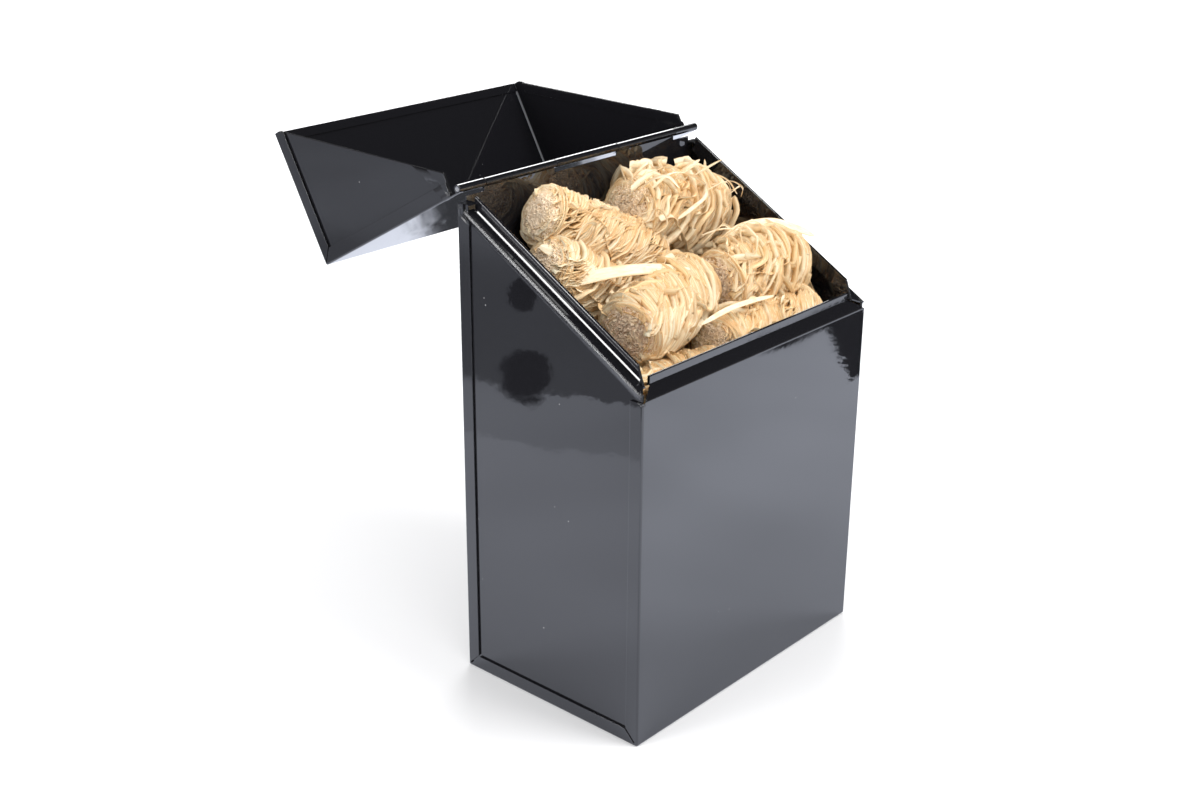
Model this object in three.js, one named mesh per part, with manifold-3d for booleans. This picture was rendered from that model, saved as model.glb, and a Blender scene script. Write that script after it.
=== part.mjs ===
// A kindling box: a glossy black sheet-metal box with a slanted mouth, a hinged
// hood lid thrown open behind it, and a filling of wood-wool firelighter rolls.
// Millimetres, +Z up. The origin is the centre of the base's underside. The
// front faces -Y, and left and right are as seen from the front: left is -X.
import * as THREE from 'three';
import { mergeVertices } from 'three/addons/utils/BufferGeometryUtils.js';
import { RoundedBoxGeometry } from 'three/addons/geometries/RoundedBoxGeometry.js';
import Module from 'manifold-3d';

const wasm = await Module();
wasm.setup();

// ---- driving dimensions ---------------------------------------------------
// The closed box
const boxWidth = 155;            // along X, over the folded flanges
const boxDepth = 100.5;          // along Y, over the front and back panels
const frontHeight = 156.6;       // base to the bend at the top of the front panel
const mouthAngle = 30;           // slope of the mouth, degrees, rising to the back
const closedRise = 9.88;         // mouth's rear end to the top of the closed lid
const sheet = 0.6;               // steel sheet
const foldRound = 0.9;           // outside radius where the sheet folds
const flangeWidth = 6.5;         // folded flanges that frame the end panels
const seamGap = 0.3;             // lacquered clearance between separate sheets
const mitreGap = 0.4;            // open line where two flanges meet at a corner

// The rim round the mouth
const sideRimRise = 1.4;         // an end panel's ledge above the front panel's ledge
const beadRadius = 0.9;          // rolled bead along the top of an end panel
const beadRearInset = 3.6;       // back plane to the bead's rear end
const sideLedge = 4.9;           // side plane to the outside of a side lip
const sideLipHeight = 7.0;       // side lip above its ledge, measured upright
const sideLipFrontInset = 4.0;   // front plane to the foot of a side lip's front end
const sideLipLean = 3.2;         // how far that end leans back by its top
const sideLipRearInset = 5.6;    // back plane to a side lip's rear end
const frontLedge = 5.5;          // front plane to the outside of the front lip
const lipFillet = 2.2;           // hollow where a side lip rises from its ledge
const frontLipHeight = 3.4;      // front lip above its ledge
const lipThickness = 1.2;        // a lip is hemmed, two sheets thick
const frontLipEndLeft = 10.6;    // left side plane to the end of the front lip
const frontLipEndRight = 6.4;    // right side plane to the end of the front lip
const frontLedgeEnd = 1.5;       // side planes to the front ledge's mitred ends
const rearCornerRise = 0.88;     // side ledges' rear end to the flat rear corners
const rearCornerDepth = 5.4;     // back plane to the front of those flats

// The hinge
const rodRadius = 1.1;           // steel wire
const rodPlay = 0.1;             // wire to knuckle
const hingeInset = 0.35;         // back plane to the hinge axis
const knuckleSplits = [-62.4, -19.3, 21.1, 61.6];  // along X, between the knuckles
const knuckleGap = 0.5;          // between neighbouring knuckles
const wallDrop = 1.9;            // from under the barrel down to the back panel's edge
const lidNotchDepth = 1.6;       // from before the barrel to the lid's edge beside it

// The lid
const lidOverhang = 0.3;         // lid's front stands this far before the box's front
const lidFrontGap = 4.5;         // box's front bend to the closed lid's lower edge
const lidLift = 1.4;             // the lid's sloped edges above the side ledges
const lidEndInset = 5.8;         // back plane to the end panels' rear edges
const hemWidth = 4.5;            // hem folded inside a lid edge
const openAngle = 209.5;         // how far the lid is thrown back in this pose

// The firelighter rolls: wood wool, twisted and pressed, so they give where they touch
const rollGap = 0.3;             // between rolls, and to the sheet
const rollBulge = 0.09;          // how much thinner a roll is at its ends
const rollEdge = 2.6;            // rounding of a roll's ends
const ribStarts = 3;             // bundles of strands twisted round a roll that shows
const ribPitch = 52;             // along the roll, for one turn of a bundle
const ribDepth = 1.3;            // of the valleys between the bundles
const storedDiameter = 31;       // of the rolls stacked under the ones that show, about
const storedPlay = 2;            // their ends to the end panels and to the box's middle
// Each stack lies against the front panel (row -1), the back panel (1) or between them
// (0), left (-1) or right (1) of the middle, and leaves this headroom under the mouth
const stacks = [
  { name: 'front_left', side: -1, row: -1, headroom: 36.5 },
  { name: 'front_right', side: 1, row: -1, headroom: 26.3 },
  { name: 'middle_left', side: -1, row: 0, headroom: 30.5 },
  { name: 'middle_right', side: 1, row: 0, headroom: 26.5 },
  { name: 'back_left', side: -1, row: 1, headroom: 75.3 },
  { name: 'back_right', side: 1, row: 1, headroom: 22.7 },
];
// The rolls that show. A roll's middle is so far from the plane of the box's side (left
// -1, right 1), from that of its front (-1) or back (1), and below the front ledge's
// slope; it heads from +X towards +Y and rises to the right, in degrees
const topRolls = [
  { name: 'front_left', side: -1, row: -1, inset: [37.5, 18.25], drop: 23.6,
    heading: 0, rise: 0, length: 62, radius: 14 },
  { name: 'front_right', side: 1, row: -1, inset: [50.5, 21.25], drop: 15.4,
    heading: 0, rise: 0, length: 66, radius: 14 },
  { name: 'middle_left', side: -1, row: -1, inset: [58.5, 39.75], drop: 8.55,
    heading: 12, rise: 5, length: 60, radius: 14.5 },
  { name: 'middle_right', side: 1, row: -1, inset: [35.5, 37.25], drop: 4.6,
    heading: 0, rise: 1, length: 54, radius: 14.5 },
  { name: 'left', side: -1, row: 1, inset: [44.5, 31.95], drop: 19.2,
    heading: -5, rise: -32, length: 58, radius: 13 },
  { name: 'back_right', side: 1, row: 1, inset: [43.5, 21.25], drop: 6.35,
    heading: -2, rise: -9, length: 58, radius: 15 },
  { name: 'back_left', side: -1, row: 1, inset: [61, 22.25], drop: 8.8,
    heading: -13, rise: -28, length: 68, radius: 13.5 },
];
// One stands on end on the back left stack, and props the two that lean over it
const standingRoll = { inset: [19.5, 17.25], length: 48, radius: 15 };
// ----------------------------------------------------------------------------

const rad = THREE.MathUtils.degToRad;
const halfW = boxWidth / 2;
const halfD = boxDepth / 2;
const slope = Math.tan(rad(mouthAngle));
const upright = 1 / Math.cos(rad(mouthAngle));   // upright measure of a square one
const panelFace = halfW - sheet - seamGap;       // outside of the recessed end panels

// Height of the front ledge's plane and of the side ledges' plane at a depth
const frontLedgeZ = (y) => frontHeight + (y + halfD) * slope;
const sideLedgeZ = (y) => frontLedgeZ(y) + sideRimRise;

const closedHeight = frontLedgeZ(halfD) + closedRise;
const beyond = 2 * closedHeight;                 // reaches past everything
const barrelRadius = rodRadius + rodPlay + sheet;
const hingeY = halfD - hingeInset;
const hingeZ = closedHeight - barrelRadius;
const wallTop = hingeZ - barrelRadius - wallDrop;
const rearCornerZ = sideLedgeZ(halfD) + rearCornerRise;

// ---- solids ----------------------------------------------------------------
function solid(geometry) {
  const plain = new THREE.BufferGeometry();
  plain.setAttribute('position', geometry.getAttribute('position').clone());
  if (geometry.index) plain.setIndex(geometry.index.clone());
  const merged = mergeVertices(plain, 1e-4);
  return new wasm.Manifold(new wasm.Mesh({
    numProp: 3,
    vertProperties: new Float32Array(merged.attributes.position.array),
    triVerts: new Uint32Array(merged.index.array),
  }));
}

function geometryOf(manifold) {
  const mesh = manifold.getMesh();
  const geometry = new THREE.BufferGeometry();
  geometry.setAttribute('position', new THREE.BufferAttribute(mesh.vertProperties, 3));
  geometry.setIndex(new THREE.BufferAttribute(mesh.triVerts, 1));
  return geometry;
}

const joined = (solids) => solids.reduce((whole, piece) => whole.add(piece));

// Two distances from the middle, taken on one side of the box, in rising order
const across = (side, near, far) => [side * near, side * far].sort((a, b) => a - b);

// A block between two corners
function block([x0, x1], [y0, y1], [z0, z1]) {
  const geometry = new THREE.BoxGeometry(x1 - x0, y1 - y0, z1 - z0);
  geometry.translate((x0 + x1) / 2, (y0 + y1) / 2, (z0 + z1) / 2);
  return solid(geometry);
}

// The same with its edges rounded as a fold in the sheet
function foldedBlock([x0, x1], [y0, y1], [z0, z1]) {
  const geometry = new RoundedBoxGeometry(x1 - x0, y1 - y0, z1 - z0, 3, foldRound);
  geometry.translate((x0 + x1) / 2, (y0 + y1) / 2, (z0 + z1) / 2);
  return solid(geometry);
}

function swept(points, length, placing) {
  const shape = new THREE.Shape(points.map(([a, b]) => new THREE.Vector2(a, b)));
  const geometry = new THREE.ExtrudeGeometry(shape, { depth: length, bevelEnabled: false });
  geometry.applyMatrix4(placing);
  return solid(geometry);
}

// An outline in depth and height, [y, z], swept across X
function crosswise(points, [x0, x1]) {
  const placing = new THREE.Matrix4().set(0, 0, 1, x0, 1, 0, 0, 0, 0, 1, 0, 0, 0, 0, 0, 1);
  return swept(points, x1 - x0, placing);
}

// An outline in plan, [x, y], swept up Z
function upwards(points, [z0, z1]) {
  return swept(points, z1 - z0, new THREE.Matrix4().makeTranslation(0, 0, z0));
}

// An outline in width and height above the side ledges, [x, z], swept back up their slope
function upSlope(points, [y0, y1]) {
  const placing = new THREE.Matrix4().set(
    1, 0, 0, 0, 0, 0, -1, y1, 0, 1, -slope, sideLedgeZ(y1), 0, 0, 0, 1);
  return swept(points, y1 - y0, placing);
}

// A round bar between two points
function bar(from, to, radius) {
  const start = new THREE.Vector3(...from);
  const along = new THREE.Vector3(...to).sub(start);
  const geometry = new THREE.CylinderGeometry(radius, radius, along.length(), 16);
  geometry.translate(0, along.length() / 2, 0);
  const turn = new THREE.Quaternion();
  turn.setFromUnitVectors(new THREE.Vector3(0, 1, 0), along.clone().normalize());
  geometry.applyQuaternion(turn);
  geometry.translate(start.x, start.y, start.z);
  return solid(geometry);
}

// The outline of a strip of sheet seen end on: a line of folds given thickness
function strip(corners, thickness, bend = foldRound) {
  const line = new THREE.Path();
  line.moveTo(...corners[0]);
  for (let i = 1; i < corners.length - 1; i += 1) {
    const [before, corner, after] = corners.slice(i - 1, i + 2)
      .map((point) => new THREE.Vector2(...point));
    const start = before.sub(corner).setLength(bend).add(corner);
    const end = after.sub(corner).setLength(bend).add(corner);
    line.lineTo(start.x, start.y);
    line.quadraticCurveTo(corner.x, corner.y, end.x, end.y);
  }
  line.lineTo(...corners[corners.length - 1]);
  const points = line.getPoints(4);
  const normals = points.slice(1).map((point, i) => {
    const run = point.clone().sub(points[i]).normalize();
    return new THREE.Vector2(-run.y, run.x);
  });
  const offsets = points.map((point, i) => {
    const before = normals[Math.max(i - 1, 0)];
    const after = normals[Math.min(i, normals.length - 1)];
    const middle = before.clone().add(after).normalize();
    return middle.multiplyScalar(thickness / 2 / middle.dot(after));
  });
  const left = points.map((point, i) => point.clone().add(offsets[i]).toArray());
  const right = points.map((point, i) => point.clone().sub(offsets[i]).toArray());
  return [...left, ...right.reverse()];
}

// A thin slot across both flanges of one side at a corner, [y, z], on the diagonal
// that runs inwards from it
function mitreSlot(side, [y, z], inwardY, inwardZ) {
  const reach = flangeWidth + mitreGap;
  const start = foldRound + sheet;
  const half = mitreGap / Math.SQRT2;
  const outline = [
    [y + inwardY * start - inwardY * half, z + inwardZ * start + inwardZ * half],
    [y + inwardY * start + inwardY * half, z + inwardZ * start - inwardZ * half],
    [y + inwardY * reach + inwardY * half, z + inwardZ * reach - inwardZ * half],
    [y + inwardY * reach - inwardY * half, z + inwardZ * reach + inwardZ * half],
  ];
  return crosswise(outline, across(side, halfW - sheet - seamGap / 2, halfW + 1));
}

// ---- hinge -----------------------------------------------------------------
const stops = [-halfW, ...knuckleSplits, halfW];
const spans = stops.slice(1).map((end, i) => ({
  onLid: i % 2 === 0,
  from: stops[i] + (i === 0 ? 0 : knuckleGap / 2),
  to: end - (i === stops.length - 2 ? 0 : knuckleGap / 2),
}));

const barrel = ({ from, to }) => bar([from, hingeY, hingeZ], [to, hingeY, hingeZ], barrelRadius);
const hingeBore = bar([-beyond, hingeY, hingeZ], [beyond, hingeY, hingeZ], rodRadius + rodPlay);
const hingeRod = bar([-halfW, hingeY, hingeZ], [halfW, hingeY, hingeZ], rodRadius);

// ---- the box's single wrapped sheet: front, bottom and back -----------------
function boxWrap() {
  const mid = sheet / 2;
  const lipMid = -halfD + frontLedge + lipThickness / 2;
  const ledgeEnd = [lipMid, frontLedgeZ(lipMid) - mid * upright];
  const front = [-halfD + mid, frontLedgeZ(-halfD + mid) - mid * upright];
  const path = [ledgeEnd, front, [front[0], mid], [halfD - mid, mid], [halfD - mid, wallTop]];
  let wrap = crosswise(strip(path, sheet), [-halfW, halfW]);

  // flanges folded over the end panels, cut clear of the bead and the rear corner
  const beadFoot = (y) => sideLedgeZ(y) - (mid + beadRadius) * upright - seamGap;
  const rearStep = halfD - beadRearInset + seamGap;
  const top = [
    [-halfD - 1, -1],
    [halfD + 1, -1],
    [halfD + 1, rearCornerZ],
    [rearStep, rearCornerZ],
    [rearStep, beadFoot(rearStep)],
    [-halfD + flangeWidth, beadFoot(-halfD + flangeWidth)],
    [-halfD + flangeWidth, beadFoot(-halfD)],
    [-halfD - 1, beadFoot(-halfD)],
  ];
  const window = block([-beyond, beyond],
    [-halfD + flangeWidth, halfD - flangeWidth], [flangeWidth, beyond]);
  for (const side of [-1, 1]) {
    const sideSheet = crosswise(top, across(side, halfW - sheet, halfW));
    const flange = sideSheet.subtract(window)
      .intersect(block([-halfW, halfW], [-halfD, halfD], [0, beyond]));
    wrap = wrap.add(flange)
      .subtract(mitreSlot(side, [-halfD, 0], 1, 1))
      .subtract(mitreSlot(side, [halfD, 0], -1, 1));
  }
  // the back panel's top corners end with the flat rear corners
  for (const side of [-1, 1]) {
    wrap = wrap.subtract(block(across(side, halfW - sideLedge, beyond),
      [0, beyond], [rearCornerZ, beyond]));
  }
  wrap = wrap.intersect(foldedBlock([-halfW, halfW], [-halfD, halfD], [0, beyond]));

  // the front ledge is mitred at its ends, and carries the hemmed lip
  const lipFace = -halfD + frontLedge;
  const lipSpan = [-halfW + frontLipEndLeft, halfW - frontLipEndRight];
  const clearance = upwards([
    [-halfW - 1, -halfD - 2], [halfW + 1, -halfD - 2], [halfW + 1, -halfD],
    [halfW - frontLedgeEnd, -halfD], [lipSpan[1], lipFace], [lipSpan[1], 0], [lipSpan[0], 0],
    [lipSpan[0], lipFace], [-halfW + frontLedgeEnd, -halfD], [-halfW - 1, -halfD],
  ], [0, beyond + 1]);
  const frontZone = block([-halfW - 1, halfW + 1], [-halfD - 1, 0],
    [frontHeight - foldRound, beyond]);
  wrap = wrap.subtract(frontZone.subtract(clearance));
  const lipFoot = frontLedgeZ(lipFace) - sheet * upright;
  const lipTop = frontLedgeZ(lipFace) + frontLipHeight - lipThickness / 2;
  wrap = joined([
    wrap,
    block(lipSpan, [lipFace, lipFace + lipThickness], [lipFoot, lipTop]),
    bar([lipSpan[0], lipMid, lipTop], [lipSpan[1], lipMid, lipTop], lipThickness / 2),
  ]);

  // knuckles curled from tabs of the back panel
  for (const span of spans.filter(({ onLid }) => !onLid)) {
    wrap = joined([
      wrap,
      block([span.from, span.to], [halfD - sheet, halfD], [wallTop - 1, hingeZ]),
      barrel(span),
    ]);
  }
  return wrap.subtract(hingeBore);
}

// ---- an end panel of the box, with bead, ledge and lip -----------------------
function endPanel(side) {
  const reach = halfD - sheet - seamGap;
  const beadEnd = halfD - beadRearInset;
  const beadZ = (y) => sideLedgeZ(y) - sheet / 2 * upright;
  const outline = [
    [-reach, sheet + seamGap],
    [reach, sheet + seamGap],
    [reach, rearCornerZ],
    [halfD - rearCornerDepth, rearCornerZ],
    [halfD - rearCornerDepth, beadZ(halfD - rearCornerDepth)],
    [-reach, beadZ(-reach)],
  ];
  const plate = crosswise(outline, across(side, panelFace - sheet, panelFace));
  const beadX = side * (halfW - beadRadius);
  const bead = bar([beadX, -reach, beadZ(-reach)], [beadX, beadEnd, beadZ(beadEnd)], beadRadius);

  // the ledge runs inwards from the bead to the lip, its front end mitred
  const lipFace = halfW - sideLedge;
  const lipInner = lipFace - lipThickness;
  const ledgeSlab = crosswise([
    [-halfD, sideLedgeZ(-halfD) - sheet * upright],
    [beadEnd, sideLedgeZ(beadEnd) - sheet * upright],
    [beadEnd, sideLedgeZ(beadEnd)],
    [-halfD, sideLedgeZ(-halfD)],
  ], across(side, lipInner, halfW - beadRadius));
  const lipFoot = -halfD + sideLipFrontInset;
  const ledgePlan = upwards([
    [side * (halfW - beadRadius), -reach],
    [side * (halfW - beadRadius), beadEnd],
    [side * lipInner, beadEnd],
    [side * lipInner, lipFoot],
    [side * lipFace, lipFoot],
  ], [0, beyond]);
  const ledge = ledgeSlab.intersect(ledgePlan);

  // the lip stands on the ledge's inner edge, hemmed along its top
  const lipRear = halfD - sideLipRearInset;
  const lipTopZ = (y) => sideLedgeZ(y) + sideLipHeight - lipThickness / 2 * upright;
  const lipFront = lipFoot + sideLipLean;
  const lipX = side * (lipFace - lipThickness / 2);
  const lip = crosswise([
    [lipFoot, sideLedgeZ(lipFoot) - sheet * upright],
    [lipRear, sideLedgeZ(lipRear) - sheet * upright],
    [lipRear, lipTopZ(lipRear)],
    [lipFront, lipTopZ(lipFront)],
  ], across(side, lipInner, lipFace));
  const hem = bar([lipX, lipFront, lipTopZ(lipFront)], [lipX, lipRear, lipTopZ(lipRear)],
    lipThickness / 2);

  // a hollow fillet where the lip rises from the ledge
  const rooted = 0.1;
  const hollow = [30, 60].map((degrees) => [
    side * (lipFace + lipFillet * (1 - Math.sin(rad(degrees)))),
    lipFillet * (1 - Math.cos(rad(degrees))),
  ]);
  const fillet = upSlope([
    [side * (lipFace + lipFillet), -rooted],
    ...hollow,
    [side * (lipFace - rooted), lipFillet],
    [side * (lipFace - rooted), -rooted],
  ], [lipFoot + sideLipLean / 2, lipRear - rooted]);

  // the flat rear corner
  const corner = block(across(side, lipInner, panelFace),
    [halfD - rearCornerDepth, reach], [rearCornerZ - sheet, rearCornerZ]);
  return joined([plate, bead, ledge, lip, hem, fillet, corner]);
}

// ---- the lid, made closed and then turned about the hinge --------------------
const lidFront = -halfD - lidOverhang;
const lidFoot = frontHeight + lidFrontGap;
const lidEdgeZ = (y) => sideLedgeZ(y) + lidLift;
const lidTurnY = (lidFoot + seamGap - lidEdgeZ(0)) / slope;   // the slope meets the foot

function lidWrap() {
  const mid = sheet / 2;
  const lidRear = halfD - lidEndInset;
  const path = [
    [lidFront + mid, lidFoot + lipThickness / 2],
    [lidFront + mid, closedHeight - mid],
    [hingeY, closedHeight - mid],
  ];
  let wrap = crosswise(strip(path, sheet), [-halfW, halfW]);
  const flangeInner = lidFront + flangeWidth;
  const outline = [
    [lidFront, lidFoot + seamGap],
    [Math.max(lidTurnY, lidFront), lidFoot + seamGap],
    [flangeInner, lidEdgeZ(flangeInner)],
    [flangeInner, closedHeight - flangeWidth],
    [lidRear, closedHeight - flangeWidth],
    [lidRear, closedHeight],
    [lidFront, closedHeight],
  ];
  for (const side of [-1, 1]) {
    wrap = wrap.add(crosswise(outline, across(side, halfW - sheet, halfW)))
      .subtract(mitreSlot(side, [lidFront, closedHeight], 1, -1));
  }
  wrap = wrap.intersect(foldedBlock([-halfW, halfW], [lidFront, beyond], [0, closedHeight]));

  // hem along the front panel's lower edge, folded inwards
  const hemX = [-panelFace + sheet + seamGap, panelFace - sheet - seamGap];
  const hemMid = lidFront + lipThickness / 2;
  const edgeZ = lidFoot + lipThickness / 2;
  wrap = joined([
    wrap,
    block(hemX, [lidFront, lidFront + lipThickness], [edgeZ, lidFoot + hemWidth]),
    bar([hemX[0], hemMid, edgeZ], [hemX[1], hemMid, edgeZ], lipThickness / 2),
  ]);

  // notches beside the box's knuckles, and the lid's own knuckles
  for (const span of spans) {
    if (span.onLid) {
      wrap = wrap.add(barrel(span));
    } else {
      wrap = wrap.subtract(block([span.from - knuckleGap, span.to + knuckleGap],
        [hingeY - barrelRadius - lidNotchDepth, beyond], [0, beyond]));
    }
  }
  return wrap.subtract(hingeBore);
}

function lidEnd(side) {
  const front = lidFront + sheet + seamGap;
  const rear = halfD - lidEndInset;
  const top = closedHeight - sheet - seamGap;
  const foot = lidFoot + seamGap;
  const low = Math.max(lidTurnY, front);
  const plate = crosswise([
    [front, foot],
    [low, foot],
    [rear, lidEdgeZ(rear)],
    [rear, top],
    [front, top],
  ], across(side, panelFace - sheet, panelFace));
  const hemRise = hemWidth * upright;
  const hemBack = rear - seamGap;
  const hemStart = lidFront + flangeWidth;
  const hemInner = panelFace - lipThickness;
  const lift = lipThickness / 2 * upright;
  const hem = crosswise([
    [hemStart, lidEdgeZ(hemStart) + lift],
    [hemBack, lidEdgeZ(hemBack) + lift],
    [hemBack, lidEdgeZ(hemBack) + hemRise],
    [hemStart, lidEdgeZ(hemStart) + hemRise],
  ], across(side, hemInner, panelFace));
  const edgeX = side * (panelFace - lipThickness / 2);
  const edge = bar([edgeX, hemStart, lidEdgeZ(hemStart) + lift],
    [edgeX, hemBack, lidEdgeZ(hemBack) + lift], lipThickness / 2);
  return joined([plate, hem, edge]);
}

// ---- firelighter rolls ---------------------------------------------------------
// Sinks the valleys between bundles of strands that are twisted round the Y axis
function twistRibs(position, starts, share) {
  for (let i = 0; i < position.count; i += 1) {
    const [x, y, z] = [position.getX(i), position.getY(i), position.getZ(i)];
    const phase = starts * (Math.atan2(z, x) - 2 * Math.PI * y / ribPitch);
    const scale = 1 - share * (1 - Math.cos(phase));
    position.setXYZ(i, x * scale, y, z * scale);
  }
}

// A barrel-shaped roll along X, then raised, turned and moved to its place
function roll({ middle, heading = 0, rise = 0, length, radius }, detail, grown = 0) {
  const { sides, rings, starts } = detail;
  const half = length / 2 + grown;
  const width = (t) => (radius + grown) * (1 - rollBulge * t * t);
  const outline = [new THREE.Vector2(0, -half), new THREE.Vector2(width(1) - rollEdge, -half)];
  for (let i = 0; i <= rings; i += 1) {
    const t = 2 * i / rings - 1;
    outline.push(new THREE.Vector2(width(t), (half - rollEdge) * t));
  }
  outline.push(new THREE.Vector2(width(1) - rollEdge, half), new THREE.Vector2(0, half));
  const geometry = new THREE.LatheGeometry(outline, sides);
  if (starts) twistRibs(geometry.getAttribute('position'), starts, ribDepth / radius / 2);
  geometry.rotateZ(-Math.PI / 2);
  geometry.rotateY(-rad(rise));
  geometry.rotateZ(rad(heading));
  geometry.translate(...middle);
  return solid(geometry);
}

// The space for the rolls: inside the sheets, and narrower between the lips
const wallInside = halfD - sheet - rollGap;
const endInside = panelFace - sheet - rollGap;
const floorInside = sheet + rollGap;
const underLedge = (y) => frontLedgeZ(y) - sheet * upright - rollGap;
const betweenLips = halfW - sideLedge - lipThickness - rollGap;
const inside = crosswise([
  [-wallInside, floorInside],
  [wallInside, floorInside],
  [wallInside, underLedge(wallInside)],
  [-wallInside, underLedge(-wallInside)],
], [-endInside, endInside]).add(block([-betweenLips, betweenLips],
  [-halfD + frontLedge + lipThickness + rollGap, wallInside], [floorInside, closedHeight]));

// Rolls are made in order, and each one gives way to the sheet and to those before it
const rolls = [];
const fine = { sides: 24, rings: 20, starts: ribStarts };
const coarse = { sides: 16, rings: 4 };

function addRoll(name, place, detail) {
  let shape = roll(place, detail).intersect(inside);
  for (const earlier of rolls) {
    shape = shape.subtract(roll(earlier.place, earlier.detail, rollGap));
  }
  rolls.push({ name, place, detail, shape });
}

const stackTops = {};
for (const { name, side, row, headroom } of stacks) {
  const height = frontLedgeZ(row * (wallInside - storedDiameter / 2)) - headroom - floorInside;
  const count = Math.round(height / (storedDiameter + rollGap));
  const pitch = height / count;
  const radius = (pitch - rollGap) / 2;
  for (let level = 0; level < count; level += 1) {
    const middle = [side * (panelFace - sheet) / 2, row * (wallInside - radius),
      floorInside + radius + level * pitch];
    const length = panelFace - sheet - 2 * storedPlay;
    addRoll(`stored_roll_${name}_${level + 1}`, { middle, length, radius }, coarse);
  }
  stackTops[name] = floorInside + height;
}
{
  const { inset, ...size } = standingRoll;
  const z = stackTops.back_left + size.length / 2;
  const middle = [inset[0] - halfW, halfD - inset[1], z];
  addRoll('stored_roll_standing', { middle, rise: 90, ...size }, coarse);
}
for (const { name, side, row, inset, drop, ...size } of topRolls) {
  const y = row * (halfD - inset[1]);
  const middle = [side * (halfW - inset[0]), y, frontLedgeZ(y) - drop];
  addRoll(`roll_${name}`, { middle, ...size }, fine);
}

// ---- assembly ----------------------------------------------------------------
const lacquer = { color: 0x060607, roughness: 0.08, metalness: 0.0 };
const straw = { color: 0xd9b57a, roughness: 0.85, metalness: 0.0 };
const steel = { color: 0xb9bbbd, roughness: 0.25, metalness: 1.0 };

function piece(name, manifold, look) {
  const mesh = new THREE.Mesh(geometryOf(manifold), new THREE.MeshStandardMaterial(look));
  mesh.name = name;
  return mesh;
}

const kindlingBox = new THREE.Group();
kindlingBox.add(
  piece('box_wrap', boxWrap(), lacquer),
  piece('box_end_left', endPanel(-1), lacquer),
  piece('box_end_right', endPanel(1), lacquer),
  piece('hinge_rod', hingeRod, steel),
);

// The lid's group sits on the hinge axis, and its pieces hang from it
const lid = new THREE.Group();
lid.position.set(0, hingeY, hingeZ);
lid.rotation.x = -rad(openAngle);
for (const [name, manifold] of [
  ['lid_wrap', lidWrap()],
  ['lid_end_left', lidEnd(-1)],
  ['lid_end_right', lidEnd(1)],
]) {
  const mesh = piece(name, manifold, lacquer);
  mesh.position.set(0, -hingeY, -hingeZ);
  lid.add(mesh);
}
kindlingBox.add(lid);
for (const { name, shape } of rolls) kindlingBox.add(piece(name, shape, straw));

export default kindlingBox;
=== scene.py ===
"""Looks of a kindling box: gloss black sheet metal, a bright hinge wire, rolls of wood wool."""
import math

import bpy
from bpy.props import (
    FloatProperty,
    FloatVectorProperty,
    IntProperty,
    PointerProperty,
)
from mathutils import Matrix, Vector


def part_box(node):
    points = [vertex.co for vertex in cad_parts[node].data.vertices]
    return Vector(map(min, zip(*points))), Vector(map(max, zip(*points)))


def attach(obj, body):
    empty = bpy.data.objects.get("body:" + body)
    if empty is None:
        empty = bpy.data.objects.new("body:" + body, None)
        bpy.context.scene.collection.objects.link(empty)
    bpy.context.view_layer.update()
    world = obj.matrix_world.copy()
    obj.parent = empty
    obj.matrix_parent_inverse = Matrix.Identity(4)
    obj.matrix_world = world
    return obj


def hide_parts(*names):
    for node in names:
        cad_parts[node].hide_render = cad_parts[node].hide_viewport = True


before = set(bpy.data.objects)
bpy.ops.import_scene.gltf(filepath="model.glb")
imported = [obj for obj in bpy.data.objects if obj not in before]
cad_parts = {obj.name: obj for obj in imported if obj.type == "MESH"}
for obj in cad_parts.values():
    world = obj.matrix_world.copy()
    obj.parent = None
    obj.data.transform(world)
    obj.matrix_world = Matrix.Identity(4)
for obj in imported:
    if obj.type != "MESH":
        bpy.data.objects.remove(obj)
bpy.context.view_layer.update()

bl_info = {
    "name": "Kindling Box",
    "version": (1, 0, 0),
    "blender": (4, 5, 0),
    "location": "View3D > Sidebar > Kindling Box",
    "description": "Dresses a sheet-metal kindling box and fills it with wood-wool rolls",
    "category": "Object",
}

MM = 0.001


def placed(name, data):
    """A new object in the scene."""
    obj = bpy.data.objects.new(name, data)
    bpy.context.scene.collection.objects.link(obj)
    return obj


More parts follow.
